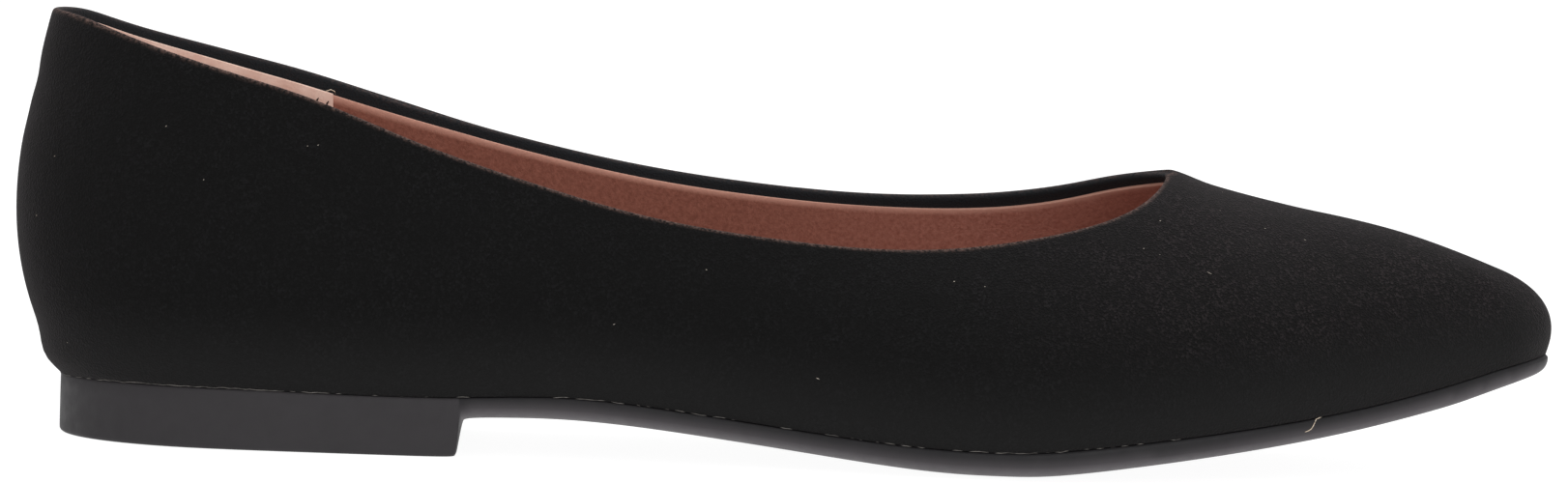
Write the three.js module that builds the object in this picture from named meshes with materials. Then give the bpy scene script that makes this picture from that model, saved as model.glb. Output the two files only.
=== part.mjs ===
// Pointed toe flat shoe for the right foot, made of three pieces: a unit sole with its low heel
// moulded on, a suede upper lasted round the foot shape and open at the collar and underneath,
// and an insole that lies on the upper's turned-in margin. Millimetres, +X towards the toe,
// +Y towards the inner (medial) side of the foot, +Z up. The shoe stands on the floor, z = 0,
// with its origin at the middle of the heel's flat foot.
import * as THREE from "three";
import { mergeVertices } from "three/addons/utils/BufferGeometryUtils.js";

// Driving sizes of the shoe
const length = 256.5; // back of the counter to the tip of the toe
const ballWidth = 75; // sole edge to sole edge across the ball
const heelWidth = 51; // the same across the heel seat
const backHeight = 70.5; // floor to the top of the back
const throatHeight = 48.3; // floor to the point of the throat
const collarLowLateral = 36.8; // floor to the collar's lowest point, outer side
const collarLowMedial = 42; // the same on the inner side
const toeDepth = 13.5; // top of the toe above its sole edge

// Sizes of the sole
const soleThickness = 4.6; // forepart
const heelLift = 6.3; // underside of the waist above the floor, at the heel
const toeSpring = 16.6; // underside of the toe tip above the floor
const heelFootLength = 66; // back of the heel to the breast, on the floor
const breastSlope = 1; // how far the breast leans forwards as it rises
const breastFillet = 0.9;
const soleLip = 0.4; // how far the sole stands out past the upper's edge
const soleTopRound = 0.5;
const edgeRoundHeight = 2.5; // rounded lower edge of the waist and forepart
const edgeRoundWidth = 10;
const heelEdgeRound = 0.8; // the same at the heel's foot
const narrowShare = 0.55; // most of the half width that a margin or a rounded edge may take
const treadFlat = 0.25; // depth taken off the underside to leave the ball a flat spot

// Sizes of the upper and the insole
const wall = 2.1; // suede, backing and lining together
const collarEdge = 1.5; // suede folded over at the collar, with no lining
const collarFold = 1.4; // how far down the inside the folded suede shows
const liningStep = 0.4; // height over which the lining's cut edge thickens the wall
const marginWidth = 9; // upper turned in under the insole
const insoleThickness = 2.6;
const insoleRound = 0.7;
const clearance = 0.3; // between pieces that touch

// Where the foot shape starts and ends: its sole edge, and its crest line above
const soleEdgeBack = 8.2;
const soleEdgeToe = 1.2; // short of the overall length
const crestBack = 7.5;
const crestToe = 9.5;
const heelCap = 30; // length over which the heel rounds off in plan
const toeCap = 7; // the same at the tip of the toe
const throatAt = 0.766; // share of the crest line at the point of the throat

// How finely the shapes are cut
const rearStations = 33;
const vampStations = 21;
const outerRows = 14;
const innerRows = 8;
const rollSteps = 4;
const edgeSteps = 4;
const heelStations = 9;
const soleStations = 34;
const acrossSteps = 4;
const towardsThroat = 1.5; // how strongly the stations crowd at the throat
const towardsTop = 1.25; // the same for the rows of the wall at its top
const searchSteps = 40;
const slopeStep = 1e-4;
const joinDistance = 1e-4;

const lateral = -1;
const medial = 1;

// Sole edge seen from above. at: share of the footprint's length. Widths: share of the half
// width there, which goes from the heel's to the ball's.
const footprint = [
  { at: 0, lateral: 0.94, medial: 0.96 },
  { at: 0.1, lateral: 0.94, medial: 0.98 },
  { at: 0.22, lateral: 1, medial: 0.969 },
  { at: 0.34, lateral: 0.945, medial: 0.761 },
  { at: 0.46, lateral: 0.915, medial: 0.674 },
  { at: 0.56, lateral: 0.973, medial: 0.766 },
  { at: 0.64, lateral: 1.03, medial: 0.9 },
  { at: 0.68, lateral: 1.018, medial: 0.938 },
  { at: 0.72, lateral: 0.975, medial: 0.94 },
  { at: 0.76, lateral: 0.905, medial: 0.892 },
  { at: 0.8, lateral: 0.813, medial: 0.803 },
  { at: 0.84, lateral: 0.7, medial: 0.69 },
  { at: 0.88, lateral: 0.577, medial: 0.567 },
  { at: 0.94, lateral: 0.377, medial: 0.37 },
  { at: 1, lateral: 0.165, medial: 0.165 },
];

// Underside of the waist and forepart seen from the side, and how thick the sole is there. heel:
// share of the heel lift, toe: share of the toe spring, thick: share of the sole's thickness.
const soleLine = [
  { at: 0, heel: 1, toe: 0, thick: 0.848 },
  { at: 0.09, heel: 1, toe: 0, thick: 0.848 },
  { at: 0.17, heel: 0.96, toe: 0, thick: 0.848 },
  { at: 0.24, heel: 0.925, toe: 0, thick: 0.848 },
  { at: 0.285, heel: 0.98, toe: 0, thick: 0.87 },
  { at: 0.325, heel: 1.015, toe: 0, thick: 0.925 },
  { at: 0.365, heel: 0.95, toe: 0, thick: 0.935 },
  { at: 0.405, heel: 0.805, toe: 0, thick: 0.925 },
  { at: 0.45, heel: 0.61, toe: 0, thick: 0.915 },
  { at: 0.52, heel: 0.29, toe: 0, thick: 0.94 },
  { at: 0.56, heel: 0.13, toe: 0, thick: 0.96 },
  { at: 0.6, heel: 0.035, toe: 0, thick: 0.995 },
  { at: 0.64, heel: 0, toe: 0, thick: 1.025 },
  { at: 0.675, heel: 0, toe: 0.047, thick: 1.03 },
  { at: 0.71, heel: 0, toe: 0.108, thick: 1.025 },
  { at: 0.75, heel: 0, toe: 0.184, thick: 1.015 },
  { at: 0.8, heel: 0, toe: 0.287, thick: 1.005 },
  { at: 0.84, heel: 0, toe: 0.38, thick: 1 },
  { at: 0.9, heel: 0, toe: 0.558, thick: 1 },
  { at: 0.94, heel: 0, toe: 0.715, thick: 0.975 },
  { at: 0.97, heel: 0, toe: 0.872, thick: 0.865 },
  { at: 1, heel: 0, toe: 1, thick: 0.74 },
];

// Crest of the foot shape: the vamp's ridge line, and behind the throat the line that the open
// quarters lean towards. throat: share from the toe's top to the throat's height, back: share of
// the back's extra height, offset: towards the inner side, as a share of half the ball width.
const crest = [
  { at: 0, throat: 1.65, back: 1.03, offset: 0 },
  { at: 0.1, throat: 1.65, back: 0.975, offset: 0 },
  { at: 0.22, throat: 1.65, back: 0.89, offset: 0.012 },
  { at: 0.34, throat: 1.64, back: 0.755, offset: 0.035 },
  { at: 0.46, throat: 1.6, back: 0.48, offset: 0.06 },
  { at: 0.56, throat: 1.52, back: 0.214, offset: 0.08 },
  { at: 0.64, throat: 1.38, back: 0.1, offset: 0.09 },
  { at: 0.72, throat: 1.165, back: 0.02, offset: 0.09 },
  { at: throatAt, throat: 1, back: 0, offset: 0.086 },
  { at: 0.82, throat: 0.775, back: 0, offset: 0.076 },
  { at: 0.88, throat: 0.57, back: 0, offset: 0.055 },
  { at: 0.94, throat: 0.345, back: 0, offset: 0.03 },
  { at: 1, throat: 0, back: 0, offset: 0 },
];

// How the wall rises from the sole edge to the crest. bulge: how far the pull point stands out
// past the sole edge, shoulder: length of the upper pull, crown: half width that stays open at the
// crest, all as shares of the half width there. rise: share of the wall's height. lean: degrees
// below level at which the wall meets the crest.
const walls = [
  { at: 0, bulgeLateral: 0.6, bulgeMedial: 0.6, rise: 0.3, shoulder: 0.88, crown: 0.59, lean: 78 },
  { at: 0.1, bulgeLateral: 0.225, bulgeMedial: 0.225, rise: 0.255, shoulder: 0.863, crown: 0.667, lean: 76 },
  { at: 0.22, bulgeLateral: 0.19, bulgeMedial: 0.24, rise: 0.247, shoulder: 0.82, crown: 0.625, lean: 72 },
  { at: 0.34, bulgeLateral: 0.155, bulgeMedial: 0.277, rise: 0.244, shoulder: 0.69, crown: 0.45, lean: 62 },
  { at: 0.46, bulgeLateral: 0.13, bulgeMedial: 0.264, rise: 0.25, shoulder: 0.586, crown: 0.235, lean: 46 },
  { at: 0.56, bulgeLateral: 0.155, bulgeMedial: 0.23, rise: 0.27, shoulder: 0.54, crown: 0.094, lean: 30 },
  { at: 0.64, bulgeLateral: 0.175, bulgeMedial: 0.2, rise: 0.3, shoulder: 0.533, crown: 0.02, lean: 16 },
  { at: 0.72, bulgeLateral: 0.18, bulgeMedial: 0.185, rise: 0.344, shoulder: 0.5, crown: 0, lean: 5 },
  { at: throatAt, bulgeLateral: 0.175, bulgeMedial: 0.175, rise: 0.36, shoulder: 0.48, crown: 0, lean: 0 },
  { at: 0.88, bulgeLateral: 0.13, bulgeMedial: 0.13, rise: 0.383, shoulder: 0.35, crown: 0, lean: 0 },
  { at: 0.94, bulgeLateral: 0.1, bulgeMedial: 0.1, rise: 0.398, shoulder: 0.26, crown: 0, lean: 0 },
  { at: 1, bulgeLateral: 0.07, bulgeMedial: 0.07, rise: 0.5, shoulder: 0.184, crown: 0, lean: 0 },
];

// Collar line seen from the side, for the outer and the inner quarter. at: share of the way to the
// throat, drop: share of the drop from the back's height to the low point that is still to come,
// lateral and medial: share of the climb from there to the throat.
const collar = [
  { at: 0.021, dropLateral: 1, dropMedial: 1, lateral: 0, medial: 0 },
  { at: 0.047, dropLateral: 0.985, dropMedial: 0.985, lateral: 0, medial: 0 },
  { at: 0.084, dropLateral: 0.903, dropMedial: 0.897, lateral: 0, medial: 0 },
  { at: 0.178, dropLateral: 0.74, dropMedial: 0.733, lateral: 0, medial: 0 },
  { at: 0.255, dropLateral: 0.62, dropMedial: 0.609, lateral: 0, medial: 0 },
  { at: 0.32, dropLateral: 0.49, dropMedial: 0.472, lateral: 0, medial: 0 },
  { at: 0.388, dropLateral: 0.355, dropMedial: 0.343, lateral: 0, medial: 0 },
  { at: 0.456, dropLateral: 0.243, dropMedial: 0.234, lateral: 0, medial: 0 },
  { at: 0.524, dropLateral: 0.141, dropMedial: 0.14, lateral: 0, medial: 0 },
  { at: 0.592, dropLateral: 0.073, dropMedial: 0.073, lateral: 0, medial: 0 },
  { at: 0.66, dropLateral: 0.029, dropMedial: 0.029, lateral: 0, medial: 0 },
  { at: 0.75, dropLateral: 0, dropMedial: 0, lateral: 0, medial: 0 },
  { at: 0.818, dropLateral: 0, dropMedial: 0, lateral: 0.05, medial: 0.05 },
  { at: 0.87, dropLateral: 0, dropMedial: 0, lateral: 0.17, medial: 0.18 },
  { at: 0.92, dropLateral: 0, dropMedial: 0, lateral: 0.33, medial: 0.44 },
  { at: 0.956, dropLateral: 0, dropMedial: 0, lateral: 0.5, medial: 0.73 },
  { at: 0.98, dropLateral: 0, dropMedial: 0, lateral: 0.7, medial: 0.9 },
  { at: 1, dropLateral: 0, dropMedial: 0, lateral: 1, medial: 1 },
];

// Breast of the heel seen from the side, from the floor up. rise: share of the waist's height,
// the others: shares of the sizes of the rounded edge, the slope and the fillet.
const breast = [
  { round: -1, slope: 0, fillet: 0, rise: 0 },
  { round: -0.3, slope: 0, fillet: 0, rise: 0.04 },
  { round: 0, slope: 0.15, fillet: 0, rise: 0.15 },
  { round: 0, slope: 0.8, fillet: 0, rise: 0.8 },
  { round: 0, slope: 1, fillet: 0.2, rise: 0.94 },
  { round: 0, slope: 1, fillet: 1, rise: 1 },
];

// A smooth curve through one column of a table, over its `at` column. It never swings past the
// values it goes through, so a stretch of zeros stays zero.
function curveOf(table, column) {
  const at = table.map((row) => row.at);
  const value = table.map((row) => row[column]);
  const last = at.length - 1;
  const slopeAfter = (i) => (value[i + 1] - value[i]) / (at[i + 1] - at[i]);
  const slope = value.map((_, i) => {
    if (i === 0) return slopeAfter(0);
    if (i === last) return slopeAfter(last - 1);
    const before = slopeAfter(i - 1);
    const after = slopeAfter(i);
    const share = (at[i] - at[i - 1]) / (at[i + 1] - at[i - 1]);
    const steepest = 3 * Math.min(Math.abs(before), Math.abs(after));
    const between = THREE.MathUtils.clamp(before + (after - before) * share, -steepest, steepest);
    return before * after > 0 ? between : 0;
  });
  return (share) => {
    const s = THREE.MathUtils.clamp(share, at[0], at[last]);
    let i = 0;
    while (i < last - 1 && s > at[i + 1]) i++;
    const span = at[i + 1] - at[i];
    const t = (s - at[i]) / span;
    const ease = t * t * (3 - 2 * t);
    const bend = slope[i] * t * (1 - t) ** 2 - slope[i + 1] * t * t * (1 - t);
    return value[i] + (value[i + 1] - value[i]) * ease + bend * span;
  };
}

// A table as an object with one curve for each of its columns.
function curvesOf(table) {
  const columns = Object.keys(table[0]).filter((column) => column !== "at");
  return Object.fromEntries(columns.map((column) => [column, curveOf(table, column)]));
}

const footprintAt = curvesOf(footprint);
const soleLineAt = curvesOf(soleLine);
const crestAt = curvesOf(crest);
const wallAt = curvesOf(walls);
const collarAt = curvesOf(collar);

// Half the width that goes with a place: the heel's at the back, the ball's from the waist on.
const waistStart = 0.2;
const waistEnd = 0.6;
function halfWidthUnit(at) {
  const forward = THREE.MathUtils.smoothstep(at, waistStart, waistEnd);
  return THREE.MathUtils.lerp(heelWidth, ballWidth, forward) / 2;
}

const footprintLength = length - soleEdgeToe - soleEdgeBack;
const crestLength = length - crestToe - crestBack;
const footprintX = (at) => soleEdgeBack + at * footprintLength;
const crestX = (at) => crestBack + at * crestLength;
const throatX = crestX(throatAt);
const originX = soleEdgeBack - soleLip + heelFootLength / 2;

// 1 along the shoe, rounding off to 0 at both of its ends.
function roundedEnds(at) {
  const fromEnd = (distance, cap) => Math.sqrt(1 - (1 - Math.min(distance / cap, 1)) ** 2);
  return fromEnd(at * footprintLength, heelCap) * fromEnd((1 - at) * footprintLength, toeCap);
}

// Stations are spaced by a turn of half a circle, so they crowd where the ends round off.
const shareOfTurn = (turn) => (1 - Math.cos(Math.PI * turn)) / 2;
const turnOfShare = (at) => Math.acos(1 - 2 * at) / Math.PI;

const undersideHeight = (at) => heelLift * soleLineAt.heel(at) + toeSpring * soleLineAt.toe(at);
const seatHeight = (at) => undersideHeight(at) + soleThickness * soleLineAt.thick(at);
const toeTop = seatHeight(1) + toeDepth;

// A point of the sole edge. A turn below 0 or above 1 goes on round the end, on the other side.
function soleEdgePoint(turn, side) {
  if (turn < 0) return soleEdgePoint(-turn, -side);
  if (turn > 1) return soleEdgePoint(2 - turn, -side);
  const at = shareOfTurn(turn);
  const share = side === lateral ? footprintAt.lateral(at) : footprintAt.medial(at);
  const y = side * share * halfWidthUnit(at) * roundedEnds(at);
  return new THREE.Vector3(footprintX(at), y, seatHeight(at));
}

// The way out from the sole edge, level and square to it in plan.
function outward(turn, side) {
  const along = soleEdgePoint(turn + slopeStep, side).sub(soleEdgePoint(turn - slopeStep, side));
  return new THREE.Vector3(-side * along.y, side * along.x, 0).normalize();
}

function crestHeight(at) {
  const overToe = (throatHeight - toeTop) * crestAt.throat(at);
  return toeTop + overToe + (backHeight - throatHeight) * crestAt.back(at);
}

// Rise of the crest line per millimetre forwards.
function crestSlope(at) {
  const from = Math.max(at - slopeStep, 0);
  const to = Math.min(at + slopeStep, 1);
  return (crestHeight(to) - crestHeight(from)) / (crestX(to) - crestX(from));
}

// One section of the foot shape, from the sole edge up to the crest.
function section(turn, side) {
  if (turn < 0) return section(-turn, -side);
  if (turn > 1) return section(2 - turn, -side);
  const at = shareOfTurn(turn);
  const unit = halfWidthUnit(at);
  const out = outward(turn, side);
  const foot = soleEdgePoint(turn, side);
  const offset = (crestAt.offset(at) * ballWidth) / 2;
  const crown = Math.max(wallAt.crown(at), 0) * unit * roundedEnds(at);
  const top = new THREE.Vector3(crestX(at), offset + side * crown, crestHeight(at));
  const bulge = unit * (side === lateral ? wallAt.bulgeLateral(at) : wallAt.bulgeMedial(at));
  const rise = wallAt.rise(at) * (top.z - foot.z);
  const lowerPull = foot.clone().addScaledVector(out, bulge);
  lowerPull.z += rise;
  const lean = THREE.MathUtils.degToRad(Math.max(wallAt.lean(at), 0));
  const alongSurface = new THREE.Vector3(out.x, out.y, out.x * crestSlope(at));
  alongSurface.multiplyScalar(Math.cos(lean));
  alongSurface.z -= Math.sin(lean);
  const reach = wallAt.shoulder(at) * unit - side * offset * roundedEnds(at);
  const upperPull = top.clone().addScaledVector(alongSurface, reach);
  return new THREE.CubicBezierCurve3(foot, lowerPull, upperPull, top);
}

// Outward normal of the foot shape.
function surfaceNormal(turn, side, v) {
  const ahead = section(turn + slopeStep, side).getPoint(v);
  const around = ahead.sub(section(turn - slopeStep, side).getPoint(v));
  const up = section(turn, side).getTangent(v);
  return around.cross(up).multiplyScalar(-side).normalize();
}

// The share of a section at which a test that rises with it turns positive.
function findShare(test, to) {
  let low = 0;
  let high = to;
  for (let i = 0; i < searchSteps; i++) {
    const middle = (low + high) / 2;
    if (test(middle) > 0) high = middle;
    else low = middle;
  }
  return (low + high) / 2;
}

// Height at which the wall is cut for the collar. The edge's roundness stands above the cut, and
// turns from upwards to backwards on the way to the throat.
function collarHeight(x, side) {
  const at = x / throatX;
  const low = side === lateral ? collarLowLateral : collarLowMedial;
  const drop = side === lateral ? collarAt.dropLateral(at) : collarAt.dropMedial(at);
  const climb = side === lateral ? collarAt.lateral(at) : collarAt.medial(at);
  const top = low + (backHeight - low) * drop + (throatHeight - low) * climb;
  return top - (collarEdge / 2) * (1 - climb);
}

// How far a margin or a rounded edge reaches in, kept narrow where the sole is narrow.
function reachIn(width, at) {
  const half = halfWidthUnit(at) * Math.min(footprintAt.lateral(at), footprintAt.medial(at));
  return Math.min(width, narrowShare * half);
}

// A point below the upper: in from the sole edge and above the seat.
function seatPoint(turn, side, inwards, above) {
  const point = soleEdgePoint(turn, side).addScaledVector(outward(turn, side), -inwards);
  point.z += above;
  return point;
}

// A point inside the foot shape, at a depth square to its surface.
function insidePoint(turn, side, v, depth) {
  const crestNormal = new THREE.Vector3(-crestSlope(shareOfTurn(turn)), 0, 1).normalize();
  const normal = v === 1 ? crestNormal : surfaceNormal(turn, side, v);
  return section(turn, side).getPoint(v).addScaledVector(normal, -depth);
}

// The same, found from its height above the seat.
function insidePointAbove(turn, side, depth, above) {
  return insidePoint(turn, side, shareAbove(turn, side, depth, above), depth);
}

function shareAbove(turn, side, depth, above) {
  const target = seatHeight(shareOfTurn(turn)) + above;
  return findShare((v) => insidePoint(turn, side, v, depth).z - target, 0.5);
}

// Turns of the upper's stations, from the back of the heel to the toe.
const throatTurn = turnOfShare(throatAt);
const crowdedShare = (i, count, power) => 1 - (1 - i / count) ** power;
const vampTurn = (share) => THREE.MathUtils.lerp(throatTurn, 1, share);
const upperTurns = [
  ...Array.from(
    { length: rearStations },
    (_, i) => throatTurn * crowdedShare(i, rearStations, towardsThroat),
  ),
  ...Array.from({ length: vampStations + 1 }, (_, i) => vampTurn(i / vampStations)),
];

// Share of a section at which the wall ends: the collar, or the crest ahead of the throat.
function wallTop(turn, side) {
  if (turn >= throatTurn) return 1;
  const curve = section(turn, side);
  const overCollar = (v) => curve.getPoint(v).z - collarHeight(curve.getPoint(v).x, side);
  return findShare(overCollar, 1);
}

// The collar's rounded edge at one station, from the outer face over to the inner one.
function rolledEdge(index, side) {
  const topAt = (i, s) => section(upperTurns[i], s).getPoint(wallTop(upperTurns[i], s));
  const turn = upperTurns[index];
  const top = wallTop(turn, side);
  const before = index === 0 ? topAt(1, -side) : topAt(index - 1, side);
  const after = index === rearStations ? topAt(index - 1, -side) : topAt(index + 1, side);
  const outer = topAt(index, side);
  const inner = insidePoint(turn, side, top, collarEdge);
  const across = inner.clone().sub(outer).normalize();
  const up = across.clone().cross(after.sub(before)).multiplyScalar(side).normalize();
  const middle = outer.clone().add(inner).divideScalar(2);
  return Array.from({ length: rollSteps - 1 }, (_, i) => {
    const angle = (Math.PI * (i + 1)) / rollSteps;
    const point = middle.clone().addScaledVector(across, (-Math.cos(angle) * collarEdge) / 2);
    return point.addScaledVector(up, (Math.sin(angle) * collarEdge) / 2);
  });
}

// One closed section of the upper's wall: up the outer face, over the edge, down the inner face
// past the lining's edge, and round the margin.
function wallSection(index, side) {
  const turn = upperTurns[index];
  const at = shareOfTurn(turn);
  const top = wallTop(turn, side);
  const curve = section(turn, side);
  const outer = Array.from({ length: outerRows + 1 }, (_, i) =>
    curve.getPoint(top * crowdedShare(i, outerRows, towardsTop)),
  );
  const noEdge = new Array(rollSteps - 1).fill(outer[outerRows]);
  const edge = turn <= throatTurn ? rolledEdge(index, side) : noEdge;
  const perShare = curve.getPoint(top).distanceTo(curve.getPoint(top - slopeStep)) / slopeStep;
  const foldEnd = top - collarFold / perShare;
  const liningEnd = foldEnd - liningStep / perShare;
  const seatEnd = shareAbove(turn, side, wall, wall);
  const edgeDepth = turn <= throatTurn ? collarEdge : wall;
  const inner = [insidePoint(turn, side, top, edgeDepth), insidePoint(turn, side, foldEnd, edgeDepth)];
  for (let i = 0; i <= innerRows; i++) {
    inner.push(insidePoint(turn, side, THREE.MathUtils.lerp(liningEnd, seatEnd, i / innerRows), wall));
  }
  const turnedIn = reachIn(marginWidth, at);
  const margin = [seatPoint(turn, side, turnedIn, wall), seatPoint(turn, side, turnedIn, 0)];
  return [...outer, ...edge, ...inner, ...margin];
}

// A closed skin over sections of equally many points. Points that meet are joined, and faces that
// have shrunk to nothing are dropped.
function skinGeometry(sections, isRing, keeps = () => true) {
  const corners = [];
  const meet = (a, b) => a.distanceTo(b) < joinDistance;
  const addTriangle = (a, b, c) => {
    if (!meet(a, b) && !meet(b, c) && !meet(c, a)) corners.push(...a, ...b, ...c);
  };
  const count = sections.length;
  for (let i = 0; i < (isRing ? count : count - 1); i++) {
    const here = sections[i];
    const next = sections[(i + 1) % count];
    for (let j = 0; j < here.length; j++) {
      if (!keeps(i, j)) continue;
      const k = (j + 1) % here.length;
      if (here[j].distanceTo(next[k]) < next[j].distanceTo(here[k])) {
        addTriangle(here[j], next[j], next[k]);
        addTriangle(here[j], next[k], here[k]);
      } else {
        addTriangle(here[j], next[j], here[k]);
        addTriangle(next[j], next[k], here[k]);
      }
    }
  }
  const geometry = new THREE.BufferGeometry();
  geometry.setAttribute("position", new THREE.Float32BufferAttribute(corners, 3));
  const joined = mergeVertices(geometry, joinDistance);
  joined.translate(-originX, 0, 0);
  joined.computeVertexNormals();
  return joined;
}

// The upper's wall goes once round the foot. The rolled edge is only there behind the throat.
function upperGeometry() {
  const last = upperTurns.length - 1;
  const outerSide = upperTurns.map((_, i) => wallSection(i, lateral));
  const innerSide = upperTurns.map((_, i) => wallSection(i, medial)).slice(1, last).reverse();
  const ring = [...outerSide, ...innerSide];
  const fromBack = (i) => Math.min(i, ring.length - i);
  const isOpen = (i) => fromBack(i) <= rearStations && fromBack(i + 1) <= rearStations;
  const isEdge = (j) => j >= outerRows && j < outerRows + rollSteps;
  return skinGeometry(ring, true, (i, j) => !isEdge(j) || isOpen(i));
}

// A section across the sole or the insole: its two edges, each listed from the bottom up, joined
// by straight rows of points above and below.
function acrossSection(outerEdge, innerEdge) {
  const rowBetween = (from, to) =>
    Array.from({ length: acrossSteps - 1 }, (_, i) => from.clone().lerp(to, (i + 1) / acrossSteps));
  return [
    ...outerEdge,
    ...rowBetween(outerEdge.at(-1), innerEdge.at(-1)),
    ...innerEdge.toReversed(),
    ...rowBetween(innerEdge[0], outerEdge[0]),
  ];
}

// One edge of the sole from the bottom up. rise: 0 at the heel, which goes down to the floor, 1
// from the waist on.
function soleEdge(turn, side, rise) {
  const at = shareOfTurn(turn);
  const top = -clearance;
  const bottom = rise * Math.max(undersideHeight(at) - treadFlat, 0) - seatHeight(at);
  const roundHeight = THREE.MathUtils.lerp(heelEdgeRound, edgeRoundHeight, rise);
  const roundWidth = reachIn(THREE.MathUtils.lerp(heelEdgeRound, edgeRoundWidth, rise), at);
  const lower = Array.from({ length: edgeSteps + 1 }, (_, i) => {
    const angle = (Math.PI / 2) * (i / edgeSteps);
    const inwards = roundWidth * (1 - Math.sin(angle)) - soleLip;
    return seatPoint(turn, side, inwards, bottom + roundHeight * (1 - Math.cos(angle)));
  });
  const upper = [
    seatPoint(turn, side, -soleLip, top - soleTopRound),
    seatPoint(turn, side, soleTopRound - soleLip, top),
  ];
  return [...lower, ...upper];
}

// The heel, the breast and then the waist and forepart.
function outsoleGeometry() {
  const breastX = originX + heelFootLength / 2;
  const turnOfX = (x) => turnOfShare((x - soleEdgeBack) / footprintLength);
  const breastStations = breast.map((row) => ({
    turn: turnOfX(breastX + row.round * heelEdgeRound + row.slope * breastSlope + row.fillet * breastFillet),
    rise: row.rise,
  }));
  const heelEnd = breastStations[0].turn;
  const waistStartTurn = breastStations.at(-1).turn;
  const stations = [
    ...Array.from({ length: heelStations }, (_, i) => ({ turn: (heelEnd * i) / heelStations, rise: 0 })),
    ...breastStations,
    ...Array.from({ length: soleStations }, (_, i) => ({
      turn: THREE.MathUtils.lerp(waistStartTurn, 1, (i + 1) / soleStations),
      rise: 1,
    })),
  ];
  const sections = stations.map(({ turn, rise }) =>
    acrossSection(soleEdge(turn, lateral, rise), soleEdge(turn, medial, rise)),
  );
  return skinGeometry(sections, false);
}

// One edge of the insole from the bottom up: the filling between the margins, then the board and
// sock, which follow the wall.
function insoleEdge(turn, side) {
  const fillingIn = reachIn(marginWidth, shareOfTurn(turn)) + clearance;
  const boardBottom = wall + clearance;
  const boardTop = boardBottom + insoleThickness;
  const shoulder = insidePointAbove(turn, side, wall + clearance, boardTop - insoleRound);
  const top = shoulder.clone().addScaledVector(outward(turn, side), -insoleRound);
  top.z += insoleRound;
  return [
    seatPoint(turn, side, fillingIn, 0),
    seatPoint(turn, side, fillingIn, boardBottom),
    insidePointAbove(turn, side, wall + clearance, boardBottom),
    shoulder,
    top,
  ];
}

function insoleGeometry() {
  const sections = upperTurns.map((turn) =>
    acrossSection(insoleEdge(turn, lateral), insoleEdge(turn, medial)),
  );
  return skinGeometry(sections, false);
}

const finishes = {
  suede: { color: 0x1a1a1b, roughness: 0.95, metalness: 0 },
  mouldedRubber: { color: 0x2c2c30, roughness: 0.6, metalness: 0 },
  sockLining: { color: 0x7a4236, roughness: 0.9, metalness: 0 },
};

function piece(name, geometry, finish) {
  const mesh = new THREE.Mesh(geometry, new THREE.MeshStandardMaterial(finish));
  mesh.name = name;
  return mesh;
}

const shoe = new THREE.Group();
shoe.name = "pointed_toe_flat";
shoe.add(piece("upper", upperGeometry(), finishes.suede));
shoe.add(piece("outsole", outsoleGeometry(), finishes.mouldedRubber));
shoe.add(piece("insole", insoleGeometry(), finishes.sockLining));

export default shoe;
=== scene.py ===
import math

import bmesh
import bpy
from mathutils import Matrix, Vector
from mathutils import noise as ripple
from mathutils.bvhtree import BVHTree
from mathutils.kdtree import KDTree


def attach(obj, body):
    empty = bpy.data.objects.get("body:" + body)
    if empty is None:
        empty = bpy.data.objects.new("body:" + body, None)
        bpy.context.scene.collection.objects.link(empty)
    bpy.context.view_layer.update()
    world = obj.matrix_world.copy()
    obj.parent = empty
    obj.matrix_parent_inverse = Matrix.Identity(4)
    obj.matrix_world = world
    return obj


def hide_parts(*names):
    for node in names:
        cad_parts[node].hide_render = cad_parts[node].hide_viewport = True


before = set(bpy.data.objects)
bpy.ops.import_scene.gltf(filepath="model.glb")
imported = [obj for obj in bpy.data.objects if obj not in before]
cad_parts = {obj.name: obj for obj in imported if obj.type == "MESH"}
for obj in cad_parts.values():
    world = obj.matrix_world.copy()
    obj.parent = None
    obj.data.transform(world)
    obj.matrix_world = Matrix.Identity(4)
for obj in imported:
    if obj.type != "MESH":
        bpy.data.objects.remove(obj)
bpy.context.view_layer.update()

scene = bpy.context.scene


# Suede upper: one skin of black suede lasted over the foot shape, its lower margin turned in and
# cemented under the insole. Its collar edge is folded over to the inside and glued, so that it
# shows there as a narrow black band above the lining.
mm = 0.001
suede_thickness = 0.7 * mm
fold_depth = 1.5 * mm  # from the outside of the upper in to the face of the fold
lining_depth = 2.1 * mm  # from the outside of the upper in to the face of the lining
fold_bottom = 26 * mm  # the whole fold is above this height
collar_bottom = 30 * mm  # and the whole collar edge above this one
margin_top = 22 * mm  # below this height only the turned-in margin has a sharp edge
margin_sharp = math.radians(40)
feather_top = 23.5 * mm  # the feather, where the margin turns in, is below this height
feather_sharp = math.radians(45)

# The line down the middle of the foot, which every outer face looks away from.
middle_back_x = -14 * mm
middle_front_x = 188 * mm
middle_height = 22 * mm
vamp_start_x = 150 * mm

# Along the outer side the collar stands a little higher beside the heel, and the front edge of the
# throat lies a little further forward. A span tells where something starts, is full, fades and
# ends, in mm along the shoe.
collar_lift = 0.6 * mm
collar_lift_span = (-34, -20, 2, 28)
collar_lift_reach = 10 * mm
throat_ease = 1 * mm
throat_ease_reach = 8 * mm
throat_back_x = 140 * mm
throat_front_x = 151 * mm

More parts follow.
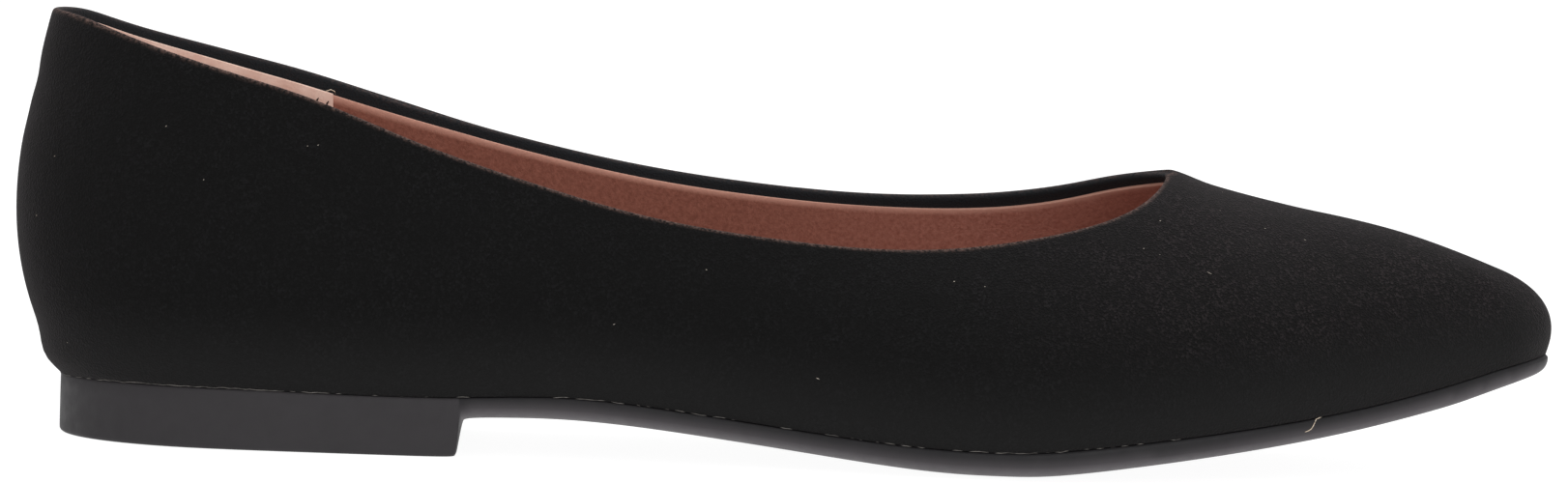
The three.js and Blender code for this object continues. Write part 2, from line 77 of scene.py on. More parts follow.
# Soft hollows of the suede, in mm: where, how far each way, how deep. A swelling is below 0.
shape_marks = [
    ((-37, 0, 58.5), (9, 20, 3.2), 0.4),
    ((-38, 0, 53), (9, 20, 3.5), 0.2),
    ((-33, 0, 13.2), (11, 18, 3.2), -1.3),
    ((-40, 0, 40), (12, 22, 15), -0.33),
    ((-24, -16, 40), (12, 12, 7), 0.25),
    ((18, -25, 36), (22, 10, 9), 0.3),
    ((44, -28, 26), (18, 10, 8), -0.25),
    ((78, -30, 20), (22, 12, 7), 0.35),
    ((112, -30, 30), (14, 14, 5), -0.2),
    ((20, 27, 52), (10, 8, 5), -0.35),
    ((60, 27, 34), (24, 10, 9), 0.35),
    ((108, 30, 30), (18, 12, 6), 0.25),
    ((152, -18, 36), (4, 15, 9), 0.3),
    ((160, -17, 33), (4, 14, 9), -0.2),
    ((153, 16, 37), (4, 14, 9), 0.3),
    ((161, 14, 34), (4, 13, 9), -0.2),
    ((173, -2, 40), (5, 12, 6), 0.18),
    ((182, 0, 38), (15, 16, 8), -0.35),
    ((152, 3, 49), (5, 8, 3), -0.4),
    ((203, 0, 34), (10, 16, 7), -0.35),
]


def cad_cage(node):
    """A solid of the frame as a clean cage of quads, to work on."""
    cage = bmesh.new()
    cage.from_mesh(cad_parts[node].data)
    bmesh.ops.remove_doubles(cage, verts=cage.verts, dist=0.002 * mm)
    bmesh.ops.join_triangles(
        cage,
        faces=cage.faces,
        angle_face_threshold=math.radians(40),
        angle_shape_threshold=math.radians(60),
    )
    cage.normal_update()
    return cage


def piece_from(shell, name, *materials):
    """An object of the shell, smooth shaded, with its materials in order."""
    mesh = bpy.data.meshes.new(name)
    shell.to_mesh(mesh)
    shell.free()
    mesh.polygons.foreach_set("use_smooth", [True] * len(mesh.polygons))
    for material in materials:
        mesh.materials.append(material)
    piece = bpy.data.objects.new(name, mesh)
    scene.collection.objects.link(piece)
    return piece


def hold_edges(cage, sharp, strength, below=math.inf):
    """Keeps the sharp edges of a cage below a height sharp when it is rounded."""
    crease = cage.edges.layers.float.new("crease_edge")
    for edge in cage.edges:
        if edge.is_manifold and edge.verts[0].co.z < below and edge.calc_face_angle() > sharp:
            edge[crease] = strength


def rounded(cage, levels=2):
    """The smooth skin that subdivision makes of a cage, as a new shell."""
    rough = piece_from(cage, "cage")
    modifier = rough.modifiers.new("skin", "SUBSURF")
    modifier.boundary_smooth = "PRESERVE_CORNERS"
    modifier.levels = levels
    modifier.render_levels = levels
    skin = bmesh.new()
    skin.from_object(rough, bpy.context.evaluated_depsgraph_get())
    bpy.data.objects.remove(rough)
    skin.normal_update()
    return skin


def thicken(piece, thickness, edge_round=0):
    """Gives a sheet its thickness, from its face inwards, and rounds its cut edges."""
    modifier = piece.modifiers.new("thickness", "SOLIDIFY")
    modifier.thickness = thickness
    modifier.offset = -1
    if edge_round:
        modifier = piece.modifiers.new("cut_edge", "BEVEL")
        modifier.width = edge_round
        modifier.segments = 2
        modifier.limit_method = "ANGLE"
        modifier.angle_limit = math.radians(50)


def smooth_step(low, high, value):
    """0 below low, 1 above high, and a soft rise between them."""
    share = min(max((value - low) / (high - low), 0), 1)
    return share * share * (3 - 2 * share)


def fade(full, gone, value):
    """1 up to full, 0 from gone on, and a soft fall between them."""
    return 1 - smooth_step(full, gone, value)


def along(span, x):
    """How far something that is given by its span along the shoe is there at x."""
    start, full, fading, end = (place * mm for place in span)
    return smooth_step(start, full, x) * fade(fading, end, x)


def from_middle(point):
    """The way from the line down the middle of the foot out to a point."""
    height = max(point.z, middle_height) if point.x < vamp_start_x else middle_height
    return point - Vector((min(max(point.x, middle_back_x), middle_front_x), 0, height))


def faces_outwards(face):
    """Whether a face belongs to the outside of the shoe."""
    return face.normal.dot(from_middle(face.calc_center_median())) > 0


def distance_from(points):
    """A function giving how far a vertex is from the nearest of some points."""
    tree = KDTree(len(points))
    for number, point in enumerate(points):
        tree.insert(point, number)
    tree.balance()
    return lambda vert: tree.find(vert.co)[2]


def mark_points(shell, name, value):
    """Keeps a value for every point of a shell, for its material to read."""
    layer = shell.verts.layers.float.new(name)
    for vert in shell.verts:
        vert[layer] = value(vert)


def hollow_depth(point):
    """How far the suede lies in at a point, by the hollows and swellings near it."""
    total = 0
    for centre, reach, depth in shape_marks:
        away = sum(((point[i] / mm - centre[i]) / reach[i]) ** 2 for i in range(3))
        if away < 8:
            total += depth * math.exp(-away)
    return total * mm


def shape_skin(skin):
    """Presses a skin's hollows in and its swellings out."""
    for vert in skin.verts:
        inwards = -1 if from_middle(vert.co).dot(vert.normal) >= 0 else 1
        vert.co += vert.normal * (inwards * hollow_depth(vert.co))


def ease_throat(skin, from_edge):
    """Moves the front edge of the throat a little towards the toe."""
    for vert in skin.verts:
        near = fade(0, throat_ease_reach, from_edge(vert))
        vert.co.x += throat_ease * near * smooth_step(throat_back_x, throat_front_x, vert.co.x)


def chained(edges):
    """The vertices along a line of edges, from one of its ends."""
    left = set(edges)
    ends = [vert for edge in edges for vert in edge.verts if len(left.intersection(vert.link_edges)) == 1]
    vert = ends[0] if ends else edges[0].verts[0]
    line = [vert]
    while edge := next((link for link in vert.link_edges if link in left), None):
        left.discard(edge)
        vert = edge.other_vert(vert)
        line.append(vert)
    return line


# The faces of the upper's wall are sorted: the outer skin, the inner faces that the lining covers,
# and the step between those and the fold.
cage = cad_cage("upper")
outer_faces = {face for face in cage.faces if faces_outwards(face)}
outer_skin = BVHTree.FromPolygons(
    [vert.co.copy() for vert in cage.verts],
    [[vert.index for vert in face.verts] for face in outer_faces],
)
deep_verts = {
    vert.index
    for vert in cage.verts
    if outer_skin.find_nearest(vert.co)[3] > (fold_depth + lining_depth) / 2
}
inner_faces = []
step_faces = []
for face in cage.faces:
    deep_corners = sum(vert.index in deep_verts for vert in face.verts)
    if face in outer_faces or not deep_corners:
        continue
    if deep_corners == len(face.verts):
        inner_faces.append(face.index)
    elif max(vert.co.z for vert in face.verts) > fold_bottom:
        step_faces.append(face.index)

# The suede's fold goes on a little way under the edge of the lining, at the depth of the fold.
cage.faces.ensure_lookup_table()
step_verts = {vert.index for index in step_faces for vert in cage.faces[index].verts}
under_faces = [
    index for index in inner_faces if any(vert.index in step_verts for vert in cage.faces[index].verts)
]
suede_cage = cage.copy()
suede_cage.faces.ensure_lookup_table()
sunk_verts = {
    vert
    for index in step_faces + under_faces
    for vert in suede_cage.faces[index].verts
    if vert.index in deep_verts
}
for vert in sunk_verts:
    vert.co -= vert.normal * (lining_depth - fold_depth)
lining_faces = set(inner_faces) - set(under_faces)
bmesh.ops.delete(
    suede_cage, geom=[face for face in suede_cage.faces if face.index in lining_faces], context="FACES"
)
hold_edges(suede_cage, margin_sharp, 1, below=margin_top)
suede_skin = rounded(suede_cage)
shape_skin(suede_skin)

# The collar's edge, all round. The wear beside it, and how far it is moved, are measured from it.
collar_edge = [
    vert.co.copy()
    for edge in suede_skin.edges
    if edge.is_manifold and faces_outwards(edge.link_faces[0]) != faces_outwards(edge.link_faces[1])
    for vert in edge.verts
    if vert.co.z > collar_bottom
]
from_collar = distance_from(collar_edge)


def rim_wear(vert):
    """How rubbed the nap is: only along the collar's edge, and less on the inner side."""
    side = 1 if vert.co.y < 0 else 0.4
    return side * fade(0.2 * mm, 1.1 * mm, from_collar(vert))


def in_fold(vert):
    """Whether a point of the suede is on the fold, inside the shoe."""
    return vert.co.z > fold_bottom and from_middle(vert.co).dot(vert.normal) < 0


mark_points(suede_skin, "rim", rim_wear)
# The fold inside the collar is painted lighter: a painted light where shade falls inside the shoe.
mark_points(suede_skin, "fold", in_fold)
for vert in suede_skin.verts:
    if vert.co.y < 0:
        lift = collar_lift * along(collar_lift_span, vert.co.x)
        vert.co.z += lift * fade(0, collar_lift_reach, from_collar(vert))
ease_throat(suede_skin, from_collar)

# The feather is the lowest line of the outside, all round, where the suede meets the sole. Each of
# its points is kept with the way that is outwards there.
feather_edges = [
    edge
    for edge in suede_skin.edges
    if edge.is_manifold and edge.calc_face_angle() > feather_sharp and edge.verts[0].co.z < feather_top
    if all(faces_outwards(face) for face in edge.link_faces)
]
feather = [
    (vert.co.copy(), Vector((vert.normal.x, vert.normal.y, 0)).normalized())
    for vert in chained(feather_edges)
]
from_feather = distance_from([point for point, outwards in feather])


def vamp_grain_and_painted_sheen(vert):
    """How far the nap is grainier and painted paler as a sheen: on the upward-facing top of the vamp and
    the toe.
    """
    return smooth_step(110 * mm, 160 * mm, vert.co.x) * smooth_step(0.1, 0.7, vert.normal.z)


# Partly dust and partly a painted light from the floor: lighter towards the feather.
mark_points(suede_skin, "dust_and_floor_light", lambda vert: fade(1 * mm, 16 * mm, from_feather(vert)))
# Grainier nap with a painted sheen on the upward-facing top of the vamp and the toe.
mark_points(suede_skin, "grain_and_painted_sheen", vamp_grain_and_painted_sheen)
suede_surface = BVHTree.FromBMesh(suede_skin)


def linear(hex_colour):
    """A colour given as sRGB hex, turned to the linear numbers that a shader reads."""
    shares = [int(hex_colour[i : i + 2], 16) / 255 for i in (1, 3, 5)]
    return [s / 12.92 if s <= 0.04045 else ((s + 0.055) / 1.055) ** 2.4 for s in shares] + [1]


def new_material(name, **constants):
    """A material and its shader, with constants set on the shader's own sockets."""
    material = bpy.data.materials.new(name)
    material.use_nodes = True
    shader = material.node_tree.nodes["Principled BSDF"]
    for socket, value in constants.items():
        shader.inputs[socket.replace("_", " ")].default_value = value
    return material, shader


def feed(material, shader, **outputs):
    """Links outputs of nodes to the shader's sockets of those names."""
    for socket, output in outputs.items():
        material.node_tree.links.new(output, shader.inputs[socket.replace("_", " ")])


def add_node(material, kind, inputs=None, stops=(), **settings):
    """Adds a node with its settings and links. An input is a value, or the output that feeds it.
    A colour ramp has two or more stops of (place, sRGB hex)."""
    node = material.node_tree.nodes.new(kind)
    for name, value in settings.items():
        setattr(node, name, value)
    for name, value in (inputs or {}).items():
        if isinstance(value, bpy.types.NodeSocket):
            material.node_tree.links.new(value, node.inputs[name])
        else:
            node.inputs[name].default_value = value
    for number, (place, colour) in enumerate([*stops[:1], *stops[-1:]]):
        node.color_ramp.elements[number].position = place
        node.color_ramp.elements[number].color = linear(colour)
    for place, colour in stops[1:-1]:
        node.color_ramp.elements.new(place).color = linear(colour)
    return node


def patches(material, size, detail=2, stretch=(1, 1, 1), roughness=0.5):
    """A cloudy pattern with patches of about that size, turned so that it lines up with no edge."""
    place = add_node(material, "ShaderNodeTexCoord").outputs["Object"]
    turned = add_node(
        material, "ShaderNodeMapping", {"Vector": place, "Scale": stretch, "Rotation": (0.6, 0.4, 0.9)}
    ).outputs["Vector"]
    return add_node(
        material,
        "ShaderNodeTexNoise",
        {"Vector": turned, "Scale": 1 / size, "Detail": detail, "Roughness": roughness},
    ).outputs["Fac"]


def mottled(material, pattern, *stops):
    """The colours that a finish has from the lowest to the highest of a pattern."""
    return add_node(material, "ShaderNodeValToRGB", {"Fac": pattern}, stops=stops).outputs["Color"]


def worn(material, mark, under, over, strength=None):
    """A finish laid over another as far as the piece's points are marked, times any strength."""
    share = add_node(material, "ShaderNodeAttribute", attribute_name=mark).outputs["Fac"]
    if strength is not None:
        share = add_node(
            material, "ShaderNodeMath", {0: share, 1: strength}, operation="MULTIPLY", use_clamp=True
        ).outputs["Value"]
    over = linear(over) if isinstance(over, str) else over
    return add_node(
        material, "ShaderNodeMix", {"Factor": share, 6: under, 7: over}, data_type="RGBA"
    ).outputs[2]


def relief(material, *layers):
    """The surface that bumps of real depth give, one layer on another. layers: (height, depth)."""
    surface = {}
    for height, depth in layers:
        bumps = add_node(material, "ShaderNodeBump", {"Height": height, "Distance": depth, **surface})
        surface = {"Normal": bumps.outputs["Normal"]}
    return surface["Normal"]


# The nap scatters light, so that the black looks grey and grainy, most of all where it curves
# away. Along the collar it is rubbed, and brown fibres of the lining cling to it. Low down it is
# a little dusty and also painted lighter, a painted light from the floor. On the upward-facing top
# of the vamp the nap is grainier, and painted paler and warmer as a painted sheen. The fold inside
# the collar is painted lighter, a painted light where shade falls inside the shoe.
nap_tuft = 0.34 * mm  # a whole tuft of the nap, because its single fibres are too fine to show
suede, shader = new_material(
    "black_suede",
    Roughness=0.95,
    Specular_IOR_Level=0.12,
    Sheen_Weight=0.15,
    Sheen_Roughness=0.5,
    Sheen_Tint=linear("#999093"),
)
place = add_node(suede, "ShaderNodeTexCoord").outputs["Object"]
nap = add_node(suede, "ShaderNodeTexVoronoi", {"Vector": place, "Scale": 1 / nap_tuft})
flat_nap = mottled(suede, nap.outputs["Color"], (0.3, "#080808"), (0.6, "#0c0c0c"), (0.9, "#151516"))
# The raised nap is grainier, and painted paler and warmer as a sheen where the vamp faces up.
painted_light_nap = mottled(suede, nap.outputs["Color"], (0.35, "#080707"), (0.6, "#0f0d0e"), (0.85, "#262122"))
tufts = worn(suede, "grain_and_painted_sheen", flat_nap, painted_light_nap)
blotches = mottled(suede, patches(suede, 7 * mm, detail=3), (0.35, "#a0a0a0"), (0.65, "#f0f0f0"))
black = add_node(
    suede, "ShaderNodeMix", {"Factor": blotches, 6: linear("#0a0a0a"), 7: tufts}, data_type="RGBA"
).outputs[2]
# Lighter low down: a little dust, and a painted light from the floor.
black = worn(suede, "dust_and_floor_light", black, "#222222", 0.42)
# Painted light: the fold inside the collar is painted lighter, in place of the light it lacks.
black = worn(suede, "fold", black, "#24272a", 0.85)
fibres = patches(suede, 0.5 * mm, detail=3, roughness=0.7)
fibres = mottled(suede, fibres, (0.4, "#000000"), (0.66, "#ffffff"))
black = worn(suede, "rim", black, "#655049", fibres)
dents = patches(suede, 5 * mm)
feed(
    suede,
    shader,
    Base_Color=black,
    Normal=relief(suede, (dents, 0.16 * mm), (nap.outputs["Distance"], 0.12 * mm)),
)

upper = piece_from(suede_skin, "suede_upper", suede)
thicken(upper, suede_thickness)
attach(upper, "root")
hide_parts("upper")


# Lining: a thin brown microsuede, cut to the same pattern, glued inside the upper up to just
# below the collar's fold, where its trimmed edge shows.
lining_thickness = 0.5 * mm
lining_edge_round = 0.15 * mm
lining_rise = 0.6 * mm  # it is glued a little further up the fold along the inner side
lining_rise_span = (10, 35, 98, 130)
lining_rise_reach = 6 * mm


def lining_cage():
    """The inner face of the wall from the fold down to the margin."""
    inner = cage.copy()
    inner.faces.ensure_lookup_table()
    keep = set(inner_faces)
    bmesh.ops.delete(inner, geom=[face for face in inner.faces if face.index not in keep], context="FACES")
    return inner


def top_edge(skin):
    """The points of a sheet's cut edge along the collar."""
    return [vert.co.copy() for vert in skin.verts if vert.is_boundary and vert.co.z > collar_bottom]


# A soft short nap, paler towards the throat: a painted light that lifts the shade falling inside
# the vamp there.
microsuede, shader = new_material(
    "brown_microsuede",
    Roughness=0.95,
    Specular_IOR_Level=0.2,
    Sheen_Weight=0.35,
    Sheen_Roughness=0.5,
    Sheen_Tint=linear("#d9b0a0"),
)
grain = patches(microsuede, 0.7 * mm, detail=4, roughness=0.7)
flat_nap = mottled(microsuede, grain, (0.3, "#7a4a3d"), (0.7, "#976253"))
# The paler nap towards the throat is painted light, which lifts the shade inside the vamp.
painted_light_nap = mottled(microsuede, grain, (0.3, "#a96b5b"), (0.7, "#cc9180"))
brown = worn(microsuede, "towards_throat", flat_nap, painted_light_nap)
# Painted highlight: the lining's rounded cut top edge is painted paler, as where it catches light from
# above.
brown = worn(microsuede, "cut_edge", brown, "#d3a08e")
feed(microsuede, shader, Base_Color=brown, Normal=relief(microsuede, (grain, 0.2 * mm)))

lining_skin = rounded(lining_cage())
shape_skin(lining_skin)
from_cut = distance_from(top_edge(lining_skin))
# Painted light: the lining is painted paler towards the throat, where shade falls inside the vamp.
mark_points(lining_skin, "towards_throat", lambda vert: smooth_step(70 * mm, 150 * mm, vert.co.x))
# Where the painted highlight lies: along the lining's cut top edge.
mark_points(lining_skin, "cut_edge", lambda vert: fade(0.05 * mm, 0.5 * mm, from_cut(vert)))
ease_throat(lining_skin, from_cut)
for vert in lining_skin.verts:
    if vert.co.y > 0:
        rise = lining_rise * along(lining_rise_span, vert.co.x)
        vert.co.z += rise * fade(0, lining_rise_reach, from_cut(vert))
lining = piece_from(lining_skin, "microsuede_lining", microsuede)
thicken(lining, lining_thickness, lining_edge_round)
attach(lining, "root")
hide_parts("upper")


# Heel grip: a sheet of pale pink-beige leather glued over the lining round the heel, its front
# edges cut straight up and down and its lower edge ending just over the sock.
grip_thickness = 0.6 * mm
grip_edge_round = 0.15 * mm
grip_lift = 0.55 * mm  # its face stands this far off the lining's
grip_front_x = 12.5 * mm
grip_front_lean = 0.03
grip_bottom = 17.3 * mm
grip_back_x = -30 * mm
grip_rise_back = 1 * mm  # its top reaches further up the fold at the back than at its front
grip_rise_front = 0.3 * mm
grip_rise_reach = 6 * mm

grip_skin = lining_cage()
for cut_at, cut_off in (
    ((grip_front_x, 0, 0), (1, 0, grip_front_lean)),
    ((0, 0, grip_bottom), (0, 0, -1)),
):
    bmesh.ops.bisect_plane(
        grip_skin,
        geom=grip_skin.verts[:] + grip_skin.edges[:] + grip_skin.faces[:],
        plane_co=cut_at,
        plane_no=cut_off,
        clear_outer=True,
    )
grip_skin = rounded(grip_skin)
shape_skin(grip_skin)
from_grip_top = distance_from(top_edge(grip_skin))
for vert in grip_skin.verts:
    vert.co += vert.normal * grip_lift
    forward = smooth_step(grip_back_x, grip_front_x, vert.co.x)
    rise = grip_rise_back + (grip_rise_front - grip_rise_back) * forward
    vert.co.z += rise * fade(0, grip_rise_reach, from_grip_top(vert))

# Thin dressed leather: faintly mottled, with fine pores and a soft dull gloss.
grip_leather, shader = new_material("pale_beige_leather", Roughness=0.6, Specular_IOR_Level=0.35)
beige = mottled(grip_leather, patches(grip_leather, 4 * mm, detail=3), (0.3, "#dcb4a4"), (0.7, "#efd1c2"))
pores = patches(grip_leather, 0.5 * mm, detail=3)
feed(grip_leather, shader, Base_Color=beige, Normal=relief(grip_leather, (pores, 0.08 * mm)))

grip_surface = BVHTree.FromBMesh(grip_skin)
grip = piece_from(grip_skin, "heel_grip", grip_leather)
thicken(grip, grip_thickness, grip_edge_round)
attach(grip, "root")


# Sole and heel: one charcoal rubber moulding with a low heel, its top edge standing just outside
# the upper, and its lower edge rounded off. Fine ribs run across its tread.
cement_gap = 0.25 * mm  # the sole's top edge closes up to the suede by this much
sole_sharp = math.radians(35)
rib_pitch = 2.4 * mm
rib_height = 0.25 * mm
rib_margin = 6 * mm  # the ribs stop this far in from the sole's side
wave_length = 0.314  # of the wave texture at a scale of 1

# The heel's front, its breast, is turned to stand nearly straight up.
breast_turn = 0.8 * mm
breast_fixed = 0.4  # the share of the heel's height that stays where it is
heel_height = 10.5 * mm
breast_back_x = 31 * mm
breast_front_x = 36 * mm
breast_top = 11.5 * mm
heel_front_x = 33.5 * mm
# The share of painted light on the heel's wall.
heel_painted_light = 0.25

# Moulded rubber: smooth but dull, so that it takes a soft light from the floor. The heel and the
# lower edge are painted paler: a painted light from the floor on the lower edge, and on the heel's
# wall, which the upper does not shade.
rubber, shader = new_material("charcoal_rubber", Specular_IOR_Level=0.3)
charcoal = mottled(rubber, patches(rubber, 12 * mm, detail=3), (0.3, "#111012"), (0.7, "#161417"))
# Painted light: paler on the heel, and on the lower edge towards the tread.
charcoal = worn(rubber, "painted_sole_light", charcoal, "#4a4649")
dullness = mottled(rubber, patches(rubber, 2 * mm, detail=4), (0.3, "#c0c0c0"), (0.7, "#d2d2d2"))
place = add_node(rubber, "ShaderNodeTexCoord").outputs["Object"]
ribs = add_node(rubber, "ShaderNodeTexWave", {"Vector": place, "Scale": wave_length / rib_pitch})
tread = add_node(rubber, "ShaderNodeAttribute", attribute_name="tread")
ribs = add_node(
    rubber,
    "ShaderNodeMath",
    {0: ribs.outputs["Fac"], 1: tread.outputs["Fac"]},
    operation="MULTIPLY",
    use_clamp=True,
)
moulding = patches(rubber, 0.6 * mm, detail=3)
feed(
    rubber,
    shader,
    Base_Color=charcoal,
    Roughness=dullness,
    Normal=relief(rubber, (moulding, 0.03 * mm), (ribs.outputs["Value"], rib_height)),
)

sole_cage = cad_cage("outsole")
hold_edges(sole_cage, sole_sharp, 0.9)
for vert in sole_cage.verts:
    if vert.normal.z > 0.3:
        vert.co.z += cement_gap
    if breast_back_x < vert.co.x < breast_front_x and vert.co.z < breast_top:
        vert.co.x += breast_turn * (breast_fixed - vert.co.z / heel_height)
sole_shell = rounded(sole_cage)
from_side = distance_from([vert.co.copy() for vert in sole_shell.verts if abs(vert.normal.z) < 0.3])
from_tread = distance_from([vert.co.copy() for vert in sole_shell.verts if vert.normal.z < -0.85])


def ribbing(vert):
    """Where the ribs are: on the underside, in from its edge."""
    if vert.normal.z >= -0.8:
        return 0
    return smooth_step(rib_margin, rib_margin + 1 * mm, from_side(vert))


def sole_painted_light(vert):
    """How much painted light the rubber has: evenly on the heel, and up from the tread elsewhere."""
    if vert.co.x < heel_front_x:
        return heel_painted_light
    forward = smooth_step(130 * mm, 185 * mm, vert.co.x)
    return fade(1.1 * mm * forward, (2.8 + 0.5 * forward) * mm, from_tread(vert))


mark_points(sole_shell, "tread", ribbing)
# Painted light from the floor and on the heel, kept for the rubber to read.
mark_points(sole_shell, "painted_sole_light", sole_painted_light)
sole_surface = BVHTree.FromBMesh(sole_shell)
sole = piece_from(sole_shell, "unit_sole", rubber)
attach(sole, "root")
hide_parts("outsole")


# Cement: where the upper was pressed on to the sole, a little of the clear cement came out, and
# has dried along the joint in thin broken threads.
cement_radius = 0.065 * mm
cement_step = 0.5 * mm
cement_break = 0.8 * mm  # about how long a thread is before it breaks off
cement_wander = 0.14 * mm
wander_length = 1.1 * mm

# How much of the joint it covers, in rows of (mm along the shoe, share).
cement_cover = [
    (-40, 1),
    (8, 0.9),
    (14, 0.5),
    (42, 0.35),
    (50, 0.65),
    (74, 0.6),
    (80, 0.4),
    (88, 0.65),
    (132, 0.65),
    (155, 0.5),
    (164, 0),
]


def between(rows, x):
    """The value at x of rows of (x, value), along straight lines."""
    for (x0, value0), (x1, value1) in zip(rows, rows[1:]):
        if x < x1:
            return value0 + (value1 - value0) * max(x - x0, 0) / (x1 - x0)
    return rows[-1][1]


def strand(shell, points, radius, sides=6, taper=0.4):
    """Adds a strand to a shell: a ring extruded from point to point, thinner at both of its ends."""
    rings = []
    for number, point in enumerate(points):
        onwards = points[min(number + 1, len(points) - 1)] - points[max(number - 1, 0)]
        thin = taper if number in (0, len(points) - 1) else 1
        turn = onwards.to_track_quat("Z", "Y").to_matrix().to_4x4()
        rings.append(Matrix.Translation(point) @ turn @ Matrix.Scale(radius * thin, 4))
    verts = bmesh.ops.create_circle(shell, segments=sides, radius=1, matrix=rings[0])["verts"]
    edges = list({edge for vert in verts for edge in vert.link_edges})
    bmesh.ops.contextual_create(shell, geom=edges)
    for before, after in zip(rings, rings[1:]):
        grown = bmesh.ops.extrude_edge_only(shell, edges=edges)["geom"]
        edges = [item for item in grown if isinstance(item, bmesh.types.BMEdge)]
        verts = [item for item in grown if isinstance(item, bmesh.types.BMVert)]
        bmesh.ops.transform(shell, matrix=after @ before.inverted(), verts=verts)
    bmesh.ops.contextual_create(shell, geom=edges)


def strands_piece(name, shell, material):
    """Turns the faces of a shell of strands outwards and makes it a piece."""
    bmesh.ops.recalc_face_normals(shell, faces=shell.faces)
    piece = piece_from(shell, name, material)
    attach(piece, "root")


cement_shell = bmesh.new()
run = []
for (start, outwards), (end, ahead) in zip(feather, feather[1:]):
    steps = max(round((end - start).length / cement_step), 1)
    for number in range(steps):
        place = start.lerp(end, number / steps)
        wander = Vector((0, 0, cement_wander * ripple.noise(place / wander_length)))
        if 0.5 + 0.9 * ripple.noise(place / cement_break) < between(cement_cover, place.x / mm):
            run.append(place + outwards * cement_radius + wander)
        else:
            if len(run) > 1:
                strand(cement_shell, run, cement_radius, sides=5)
            run = []

# Dried cement: a dull grey film with a slight gloss, paler where it is thicker.
dried_cement, shader = new_material("dried_cement", Roughness=0.7, Specular_IOR_Level=0.3)
grey = mottled(dried_cement, patches(dried_cement, 1.5 * mm), (0.3, "#383634"), (0.7, "#75716d"))
feed(dried_cement, shader, Base_Color=grey)
strands_piece("cement_threads", cement_shell, dried_cement)


# Loose threads: a cut end of beige sewing thread hanging out of the joint near the toe, the tail
# of another at the front top corner of the heel grip, and the grip's two dark tacking stitches
# each side, which hold that corner. All of them are in mm.
thread_radius = 0.075 * mm
tack_radius = 0.17 * mm
hanging_end = [
    (174.9, -25.9, 11.6),
    (174.6, -26.4, 10.9),
    (173.9, -26.7, 10.4),
    (173.4, -27.2, 9.6),
    (173.1, -27.5, 9),
    (172.6, -27.7, 8.7),
    (172.0, -28.0, 8.5),
]
corner_loop = [
    (9.4, 20.6, 55.6),
    (9.6, 20.4, 56.2),
    (10.4, 20.4, 56.5),
    (11.1, 20.5, 56.2),
    (11.2, 20.7, 55.7),
]
tack_stitches = [((8.4, 20.9, 55.2), (7.9, 20.9, 54.3)), ((10.1, 21.0, 54.7), (9.6, 21.0, 53.8))]


def laid_on(surface, point, lift):
    """The nearest place on a surface, lifted off it."""
    place, normal = surface.find_nearest(Vector(point) * mm)[:2]
    return place + normal * lift


# Spun polyester thread: dull, with its twist drawn coarser than it is, so that it shows.
twist = {"size": 0.3 * mm, "stretch": (1, 1, 0.3)}
beige_thread, shader = new_material("beige_thread", Roughness=0.8, Specular_IOR_Level=0.25)
beige = mottled(beige_thread, patches(beige_thread, **twist), (0.3, "#b7a58f"), (0.7, "#e2d3bf"))
feed(beige_thread, shader, Base_Color=beige)
brown_thread, shader = new_material("dark_brown_thread", Roughness=0.8, Specular_IOR_Level=0.25)
brown = mottled(brown_thread, patches(brown_thread, **twist), (0.3, "#24140f"), (0.7, "#3b231c"))
feed(brown_thread, shader, Base_Color=brown)

loose_shell = bmesh.new()
hanging = [laid_on(sole_surface, point, 1.2 * thread_radius) for point in hanging_end]
strand(loose_shell, hanging, thread_radius)
strand(loose_shell, [Vector(point) * mm for point in corner_loop], thread_radius)
strands_piece("loose_threads", loose_shell, beige_thread)

tack_shell = bmesh.new()
for top, low in tack_stitches:
    for side in (1, -1):
        ends = [laid_on(grip_surface, (x, y * side, z), 0.05 * mm) for x, y, z in (top, low)]
        strand(tack_shell, [ends[0], (ends[0] + ends[1]) / 2, ends[1]], tack_radius)
strands_piece("grip_stitches", tack_shell, brown_thread)


# Lint: short pale fibres caught in the suede's nap, as on any worn or handled suede. Each row is a
# fibre: its place and its length in mm, and how it leans in degrees.
lint_radius = 0.068 * mm
lint_lift = 0.3 * lint_radius  # a fibre is half sunk in the nap
lint = [
    ((-15.9, -23.0, 52.9), 0.35, 40),
    ((9.3, -23.7, 50.5), 0.3, 20),
    ((7.6, -23.8, 50.3), 0.2, 0),
    ((-9.3, -25.2, 44.4), 0.3, 60),
    ((-34.5, -14.4, 46.7), 0.35, 10),
    ((-37.4, -12.4, 36.6), 0.3, 75),
    ((-31.7, -14.2, 15.7), 0.35, 15),
    ((147.9, -16.8, 41.5), 0.45, 30),
    ((144.9, -22.8, 37.3), 0.3, 50),
    ((159.2, -2.0, 45.5), 0.35, 60),
    ((158.3, -10.2, 43.1), 0.25, 100),
    ((165.7, -11.5, 40.3), 0.3, 0),
    ((172.4, -11.5, 38.6), 0.35, 170),
    ((155.7, -24.3, 33.8), 0.9, 145),
    ((147.6, -23.4, 36.7), 0.25, 90),
    ((73.2, -27.9, 32.3), 0.3, 150),
    ((58.4, -29.0, 23.0), 0.35, 20),
    ((113.6, -30.4, 31.7), 0.4, 30),
    ((118.6, -31.0, 31.1), 0.25, 170),
    ((91.7, -34.1, 15.6), 0.6, 160),
    ((30.0, 24.0, 44.0), 0.3, 30),
    ((-20.0, 21.0, 47.0), 0.3, 100),
    ((150.0, 20.0, 38.0), 0.35, 60),
    ((176.0, 12.0, 33.0), 0.3, 130),
]

# Cotton lint: pale and matt, each fibre drawn thicker than it is, so that it shows.
pale_lint, shader = new_material("pale_lint", Roughness=0.85, Specular_IOR_Level=0.2)
pale = mottled(pale_lint, patches(pale_lint, 0.3 * mm), (0.3, "#80786f"), (0.7, "#bab1a6"))
feed(pale_lint, shader, Base_Color=pale)

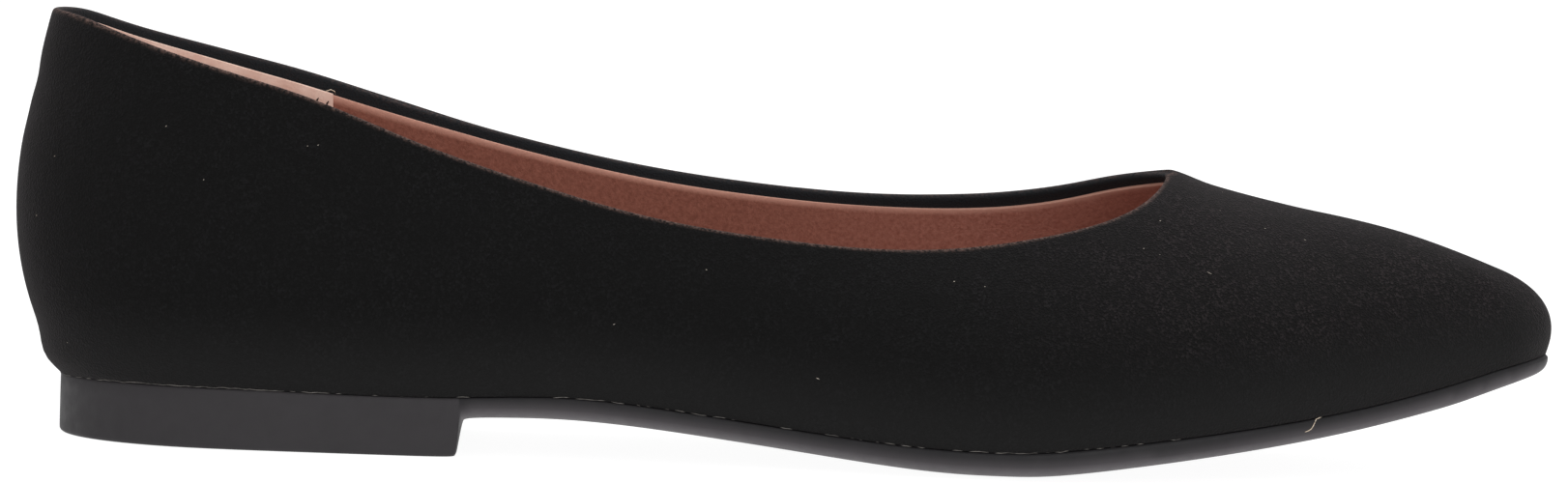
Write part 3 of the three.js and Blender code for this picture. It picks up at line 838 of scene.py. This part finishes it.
lint_shell = bmesh.new()
for place, length, lean in lint:
    middle = laid_on(suede_surface, place, lint_lift)
    half = Vector((math.cos(math.radians(lean)), 0, math.sin(math.radians(lean)))) * length * mm / 2
    ends = [laid_on(suede_surface, (middle + way) / mm, lint_lift) for way in (-half, half)]
    strand(lint_shell, [ends[0], middle, ends[1]], lint_radius, sides=5, taper=0.3)
strands_piece("lint", lint_shell, pale_lint)


# Insole: a fibre board with thin foam on it, cemented on the turned-in margin, and covered with a
# brown sock of the same microsuede as the lining.
sock_cage = cad_cage("insole")
hold_edges(sock_cage, math.radians(60), 0.5)
sock = piece_from(rounded(sock_cage), "insole_sock", microsuede)
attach(sock, "root")
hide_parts("insole")


# Floor: a plain pale studio floor of matt white paper, so evenly lit that it runs into the
# background with only a faint shadow.
floor_reach = 20
floor_mesh = bmesh.new()
bmesh.ops.create_grid(floor_mesh, x_segments=1, y_segments=1, size=floor_reach)
paper, shader = new_material(
    "white_paper",
    Base_Color=linear("#707070"),
    Roughness=0.8,
    Emission_Color=linear("#ffffff"),
    Emission_Strength=0.94,
)
floor = piece_from(floor_mesh, "floor", paper)


# Studio: a white surround, one large soft light above the shoe, and a smaller one in front of its
# outer side, towards the toe. Each light has its place, its width and its power.
surround_strength = 0.6
aim = Vector((0.09, 0, 0.03))
studio_lights = {
    "top_light": ((0.12, 0.15, 1.1), 1.4, 11.4),
    "front_light": ((0.5, -1.2, 0.7), 0.9, 5.9),
}


def facing(place, way):
    """The matrix of a lamp or camera that stands at a place, with a way pointing out of its back."""
    return Matrix.Translation(place) @ way.to_track_quat("Z", "Y").to_matrix().to_4x4()


world = bpy.data.worlds.new("studio")
world.use_nodes = True
world.node_tree.nodes["Background"].inputs["Color"].default_value = (1, 1, 1, 1)
world.node_tree.nodes["Background"].inputs["Strength"].default_value = surround_strength
scene.world = world
for name, (place, width, power) in studio_lights.items():
    lamp = bpy.data.lights.new(name, "AREA")
    lamp.size = width
    lamp.energy = power
    light = bpy.data.objects.new(name, lamp)
    light.matrix_world = facing(place, Vector(place) - aim)
    scene.collection.objects.link(light)


# Camera: a long lens that looks at the shoe's outer side from far off and a little above, turned
# so that the toe end sinks.
camera_target = Vector((0.0867, 0, 0.0349))
camera_distance = 1.5
azimuth, elevation, roll = math.radians(-2), math.radians(4.9), math.radians(1.87)
eye = bpy.data.cameras.new("camera")
eye.sensor_width = 36
eye.lens = 207.1
back = Vector(
    (math.sin(azimuth) * math.cos(elevation), -math.cos(azimuth) * math.cos(elevation), math.sin(elevation))
)
camera = bpy.data.objects.new("camera", eye)
camera.matrix_world = facing(camera_target + back * camera_distance, back) @ Matrix.Rotation(roll, 4, "Z")
scene.collection.objects.link(camera)
scene.camera = camera
scene.view_settings.view_transform = "Standard"
